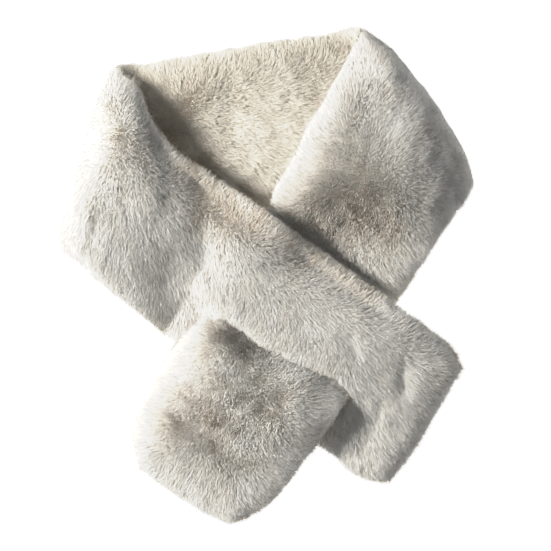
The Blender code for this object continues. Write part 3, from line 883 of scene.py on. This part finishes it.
def hair_sides(rng, straight, normal, pull):
    """The way each hair's width goes, and the way it faces."""
    count = len(straight)
    first = unit(np.cross(straight, normal + TWIST_SPREAD * rng.normal(size=(count, 3))))
    second = np.cross(straight, first)
    turn = rng.uniform(-1.0, 1.0, count)[:, None]
    width = first * np.cos(turn) + second * np.sin(turn)
    width *= np.where((np.cross(width, straight) * normal).sum(1) < 0, -1.0, 1.0)[:, None]
    upward = unit(normal - (normal * straight).sum(1)[:, None] * straight)
    slant = SLANT + (RIM_SLANT - SLANT) * pull
    rough = FACING_SPREAD * rng.normal(size=(count, 3))
    return width, unit(normal * (1 - slant) + upward * slant + rough)


def hair_tones(rng, shows, place, tuft):
    """Tone of each hair, darker where the undercoat shows and where shade is painted."""
    count = len(shows)
    tone = TONE + TUFT_TONE_SPREAD * tuft[:, 3] + TONE_SPREAD * rng.normal(size=count)
    tone += TONE_WAVE_SPREAD * waves(rng, place, TONE_WAVE)
    undercoat_and_shade_taupe = rng.random(count) < UNDERCOAT_AND_SHADE_HAIRS * shows
    tone -= shows * np.where(undercoat_and_shade_taupe, rng.uniform(*UNDERCOAT_AND_SHADE_TONES, count), UNDERCOAT_AND_SHADE_DIMMING)
    return np.clip(tone, *TONE_LIMITS)


def grow(rng, count, sheet, quads, chances, finish, attributes):
    """Hairs' roots, middles and tips, the ways their width goes, their facings and tones."""
    cell = rng.choice(len(quads), count, p=chances)
    along, across = rng.random(count), rng.random(count)
    root = between_corners(sheet.points, quads, cell, along, across)
    normal = unit(between_corners(sheet.normals, quads, cell, along, across))
    place = between_corners(attributes[:, 0:2], quads, cell, along, across)
    rim = between_corners(attributes[:, 3:5], quads, cell, along, across)
    a, b, c, d = (sheet.points[quads[cell, k]] for k in range(4))
    ahead = unit(b + c - a - d)
    sideways = unit(c + d - a - b)

    plan = root[:, 0:2]
    shows = undercoat_and_painted_shade(finish, plan)
    centre, tuft = nearest_clump(rng, place)
    pull = norm(rim, axis=1)[:, None]
    rim /= np.maximum(pull, 1.0)
    pull = np.minimum(pull, 1.0)
    uneven = np.stack([waves(rng, place, COMB_WAVE), waves(rng, place, COMB_WAVE)], axis=1)
    lean = combed(finish, plan) * COMB_PRESSURE + COMB_WAVE_LEAN * uneven
    lean *= (1 - UNDERCOAT_AND_SHADE_UPRIGHT * shows)[:, None]
    lean = lean * (1 - RIM_TAKEOVER * pull) + RIM_LEAN * rim
    lean += TUFT_LEAN_SPREAD * tuft[:, 0:2] + LEAN_SPREAD * rng.normal(size=(count, 2))
    heading = hair_headings(rng, lean, normal)
    length = hair_lengths(rng, (heading * normal).sum(1), place, tuft)[:, None]

    offset = place - centre
    draw = -(ahead * offset[:, 0:1] + sideways * offset[:, 1:2]) * CLUMP_PULL
    root = root - normal * ROOT_DEPTH
    bow = normal * (HAIR_BOW * length)
    middle = root + heading * (WIDEST * length) + bow + CLUMP_PULL_MIDDLE * draw
    tip = root + heading * length + draw
    for points in (middle, tip):
        points[:, 2] = np.maximum(points[:, 2], LOWEST_TIP)
    width, facing = hair_sides(rng, unit(tip - root), normal, pull)
    return root, middle, tip, width, facing, hair_tones(rng, shows, place, tuft)


def hair_piece(name, hairs, material, origin):
    """One mesh of hairs: each is two triangles, with its tone and its root-to-tip place as UV."""
    root, middle, tip, width, facing, tone = hairs
    count = len(root)
    half = width * HAIR_WIDTH / 2
    points = np.stack([root, middle - half, middle + half, tip], axis=1)
    points = (points + origin) * MM
    corners = np.array((0, 2, 1, 1, 2, 3))
    loops = (np.arange(count)[:, None] * 4 + corners).ravel()
    mesh = bpy.data.meshes.new(name)
    mesh.vertices.add(count * 4)
    mesh.vertices.foreach_set("co", points.astype(np.float32).ravel())
    mesh.loops.add(count * 6)
    mesh.loops.foreach_set("vertex_index", loops.astype(np.int32))
    mesh.polygons.add(count * 2)
    mesh.polygons.foreach_set("loop_start", np.arange(0, count * 6, 3, dtype=np.int32))
    mesh.update(calc_edges=True)
    up = np.array((0.0, WIDEST, WIDEST, 1.0))
    beside = np.array((0.0, -1.0, 1.0, 0.0)) * TONE_STRIP
    uv = np.stack([tone[:, None] + beside, np.broadcast_to(up, (count, 4))], axis=-1)
    layer = mesh.uv_layers.new(name="OFBake")
    layer.uv.foreach_set("vector", uv[:, corners].astype(np.float32).ravel())
    round_side = width * ROUNDNESS
    normals = np.stack([facing, facing - round_side, facing + round_side, facing], axis=1)
    mesh.normals_split_custom_set_from_vertices(unit(normals.reshape(-1, 3)))
    mesh.materials.append(material)
    return linked(name, mesh)


def hair_chances(sheet, quads, shown, attributes):
    """Number of hairs, up to a common factor, that each cell gets."""
    top = sheet.smooth_points + sheet.smooth_normals * PILE * COUNTED_AT
    a, b, c, d = (top[quads[:, k]] for k in range(4))
    area = norm(np.cross(c - a, d - b), axis=1) / 2
    open_sky = shown[quads].mean(1)
    at_rim = 1 - smooth_step(attributes[quads, 2].mean(1) / RIM_BAND)
    weight = smooth_step((open_sky - HIDDEN_BELOW) / (SHOWN_ABOVE - HIDDEN_BELOW))
    return area * weight * (1 + RIM_DENSITY * at_rim)


# ---- materials

# Light and dark hairs' colours from root to tip, as (share of the length, red, green, blue). The
# dark ones are the taupe undercoat's, and also paint shade.
HAIR_COLOURS = {
    "outer": (
        ((0.0, 0.79, 0.77, 0.72), (0.35, 0.915, 0.905, 0.87),
         (0.7, 0.955, 0.96, 0.938), (1.0, 0.97, 0.978, 0.962)),
        ((0.0, 0.24, 0.18, 0.12), (0.4, 0.46, 0.365, 0.255),
         (0.75, 0.67, 0.575, 0.45), (1.0, 0.81, 0.75, 0.655)),
    ),
    "inner": (
        ((0.0, 0.82, 0.76, 0.64), (0.35, 0.93, 0.89, 0.785),
         (0.7, 0.97, 0.935, 0.845), (1.0, 0.985, 0.96, 0.88)),
        ((0.0, 0.22, 0.165, 0.11), (0.4, 0.44, 0.35, 0.25),
         (0.75, 0.64, 0.54, 0.42), (1.0, 0.80, 0.725, 0.60)),
    ),
}

# The backings' colours, and those of their darker patches.
BACKING_COLOURS = {
    "outer": ((0.80, 0.77, 0.71), (0.66, 0.61, 0.54)),
    "inner": ((0.80, 0.73, 0.63), (0.66, 0.58, 0.48)),
}

MIX_FIRST, MIX_SECOND, MIX_RESULT = 6, 7, 2  # numbers of a mix node's colour sockets


def new_node(tree, kind, **values):
    """A new node, with the given inputs set."""
    node = tree.nodes.new("ShaderNode" + kind)
    for socket, value in values.items():
        node.inputs[socket].default_value = value
    return node


def link(source, output, target, socket):
    """Join a node's output to another's input."""
    source.id_data.links.new(source.outputs[output], target.inputs[socket])


def colour_ramp(tree, name, stops):
    ramp = new_node(tree, "ValToRGB")
    ramp.name = ramp.label = name
    while len(ramp.color_ramp.elements) < len(stops):
        ramp.color_ramp.elements.new(0.5)
    for element, (place, *colour) in zip(ramp.color_ramp.elements, stops):
        element.position = place
        element.color = (*colour, 1.0)
    return ramp


def new_material(name, inputs):
    """A new material, its node tree and its shader, with the shader's inputs set."""
    material = bpy.data.materials.new(name)
    material.use_nodes = True
    shader = material.node_tree.nodes["Principled BSDF"]
    for label, value in inputs.items():
        shader.inputs[label].default_value = value
    return material, material.node_tree, shader


def hair_material(name, light, dark):
    """Hair colour from each hair's tone, across the palette, and root to tip, up it."""
    material, tree, shader = new_material(name, {
        "Roughness": 0.62,
        "Specular IOR Level": 0.25,
        "Sheen Weight": 0.15,
        "Sheen Roughness": 0.5,
    })
    palette = new_node(tree, "UVMap")
    palette.uv_map = "OFBake"
    split = new_node(tree, "SeparateXYZ")
    link(palette, "UV", split, "Vector")
    mix = new_node(tree, "Mix")
    mix.data_type = "RGBA"
    link(split, "X", mix, "Factor")
    for label, stops, side in (("dark hair", dark, MIX_FIRST), ("light hair", light, MIX_SECOND)):
        ramp = colour_ramp(tree, label, stops)
        link(split, "Y", ramp, "Fac")
        link(ramp, "Color", mix, side)
    link(mix, MIX_RESULT, shader, "Base Color")
    return material


def cloth_material(name, colour, shade):
    """The fur's backing: a dull knit, patchy in colour."""
    material, tree, shader = new_material(name, {
        "Roughness": 0.95,
        "Specular IOR Level": 0.1,
        "Sheen Weight": 0.2,
    })
    place = new_node(tree, "TexCoord")
    patches = new_node(tree, "TexNoise", Scale=60.0, Detail=4.0)
    link(place, "Object", patches, "Vector")
    ramp = colour_ramp(tree, "backing", ((0.35, *shade), (0.65, *colour)))
    link(patches, "Fac", ramp, "Fac")
    link(ramp, "Color", shader, "Base Color")
    knit = new_node(tree, "TexNoise", Scale=900.0)
    link(place, "Object", knit, "Vector")
    bump = new_node(tree, "Bump", Strength=0.4, Distance=0.0004)
    link(knit, "Fac", bump, "Height")
    link(bump, "Normal", shader, "Normal")
    return material


# ---- stage

VIEW_WIDTH = 429.8  # millimetres across the picture
VIEW_MIDDLE = (8.6, -0.8)  # plan position at the picture's middle
CAMERA_HEIGHT = 1.5  # metres

# Side in degrees from +X towards +Y, degrees above the floor, metres away, metres across, watts
# and colour.
LIGHTS = {
    "key": (166.0, 35.0, 1.4, 0.42, 38.0, (1.0, 0.97, 0.92)),
    "overhead": (90.0, 80.0, 1.6, 1.6, 2.6, (0.97, 0.99, 1.0)),
}
SKY_STRENGTH = 0.17
SKY_COLOUR = (0.96, 0.98, 1.0, 1.0)
FLOOR_SIZE = 6.0
FLOOR_COLOUR = (0.90, 0.90, 0.89, 1.0)
FLOOR_GLOW = 1.3  # the floor is a light table
FLOOR_GLOW_COLOUR = (1.0, 1.0, 0.99, 1.0)
BRIGHTEST = 1.5  # light that is shown as white

# How bright dimmer light is shown, as (light, shown).
HIGHLIGHT_CURVE = ((0.25, 0.25), (0.5, 0.5), (0.7, 0.70), (0.9, 0.83), (1.1, 0.88), (1.3, 0.925))


def area_light(name, azimuth, height, distance, size, power, colour):
    """A soft light on a sphere round the collar, facing it."""
    turn, up = math.radians(azimuth), math.radians(height)
    place = Vector((math.cos(turn) * math.cos(up), math.sin(turn) * math.cos(up), math.sin(up)))
    data = bpy.data.lights.new(name, "AREA")
    data.shape = "DISK"
    data.size = size
    data.energy = power
    data.color = colour
    light = linked(name, data)
    light.location = place * distance
    light.rotation_mode = "QUATERNION"
    light.rotation_quaternion = place.to_track_quat("Z", "Y")


def soften_highlights(view):
    """Bend the brightest tones over, as a camera does, so that lit white fur keeps its form."""
    view.use_curve_mapping = True
    tones = view.curve_mapping
    tones.white_level = (BRIGHTEST, BRIGHTEST, BRIGHTEST)
    curve = tones.curves[3]
    curve.points[1].location = (1.0, 1.0)
    for light, shown in HIGHLIGHT_CURVE:
        curve.points.new(light / BRIGHTEST, shown)
    tones.update()


def build_stage(origin):
    """Floor, sky, lights and camera."""
    bpy.ops.mesh.primitive_plane_add(size=FLOOR_SIZE, location=(0.0, 0.0, 0.0))
    floor = bpy.context.object
    floor.name = "floor"
    material, *_ = new_material("pale_floor", {
        "Base Color": FLOOR_COLOUR,
        "Roughness": 0.9,
        "Emission Color": FLOOR_GLOW_COLOUR,
        "Emission Strength": FLOOR_GLOW,
    })
    floor.data.materials.append(material)

    scene = bpy.context.scene
    world = bpy.data.worlds.new("sky")
    world.use_nodes = True
    sky = world.node_tree.nodes["Background"]
    sky.inputs["Color"].default_value = SKY_COLOUR
    sky.inputs["Strength"].default_value = SKY_STRENGTH
    scene.world = world
    scene.view_settings.view_transform = "Standard"
    soften_highlights(scene.view_settings)

    for name, light in LIGHTS.items():
        area_light(name, *light)

    data = bpy.data.cameras.new("photo_view")
    data.type = "ORTHO"
    data.ortho_scale = VIEW_WIDTH * MM
    camera = linked("photo_view", data)
    across, up = ((VIEW_MIDDLE[k] + origin[k]) * MM for k in (0, 1))
    camera.location = (across, up, CAMERA_HEIGHT)
    scene.camera = camera


# ---- the whole

def dress(rng, origin):
    """The two cloths with the fur on them."""
    grid, parted, stretches = strip_grid()
    numbers = corner_numbers(parted)
    quads = sheet_quads(numbers)
    centre_line = (grid[:, 0, 0:3] + grid[:, -1, 0:3]) / 2
    run = np.concatenate([[0.0], np.cumsum(norm(np.diff(centre_line, axis=0), axis=1))])
    flat = grid.reshape(-1, grid.shape[-1])
    # By corner: place along the strip and from its upper edge, distance inside, the edges' turn.
    attributes = np.column_stack([np.repeat(run, grid.shape[1]), flat[:, [4, 3, 5, 6]]])
    tree = solid_tree()
    looks = {side: hair_material(f"{side}_fur_hair", *HAIR_COLOURS[side]) for side in SIDES}
    backings = {side: cloth_material(f"{side}_backing", *BACKING_COLOURS[side]) for side in SIDES}
    plots = []
    sheets = {}
    for side, direction in SIDES.items():
        sheet = cloth_sheet(grid, numbers, quads, stretches, direction)
        shown = exposure(sheet, origin, tree)
        cloth = cloth_piece(f"{side}_panel", sheet, quads, direction, origin)
        cloth.data.materials.append(backings[side])
        sheets[side] = (cloth, [])
        for stretch, (first, last) in stretches.items():
            cells = quads[first:last].reshape(-1, 4)
            chances = hair_chances(sheet, cells, shown, attributes)
            plots.append((side, stretch, sheet, cells, chances))
    total = sum(chances.sum() for *_, chances in plots)
    for side, stretch, sheet, cells, chances in plots:
        count = round(HAIR_COUNT * chances.sum() / total)
        pieces = math.ceil(count / HAIRS_A_PIECE)
        finish = FINISHES[stretch]
        chances = chances / chances.sum()
        for k in range(pieces):
            hairs = grow(rng, count // pieces, sheet, cells, chances, finish, attributes)
            name = f"{stretch}_{side}_fur_{k + 1}"
            sheets[side][1].append(hair_piece(name, hairs, looks[side], origin))
    return sheets


def main():
    rng = np.random.default_rng(SEED)
    origin = np.array((-PLAN_MIDDLE[0], -PLAN_MIDDLE[1], 0.0))
    build_stage(origin)
    for side, (cloth, furs) in dress(rng, origin).items():
        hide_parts(*(f"{stretch}_{side}" for stretch in FINISHES))
        for piece in (cloth, *furs):
            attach(piece, "root")


main()
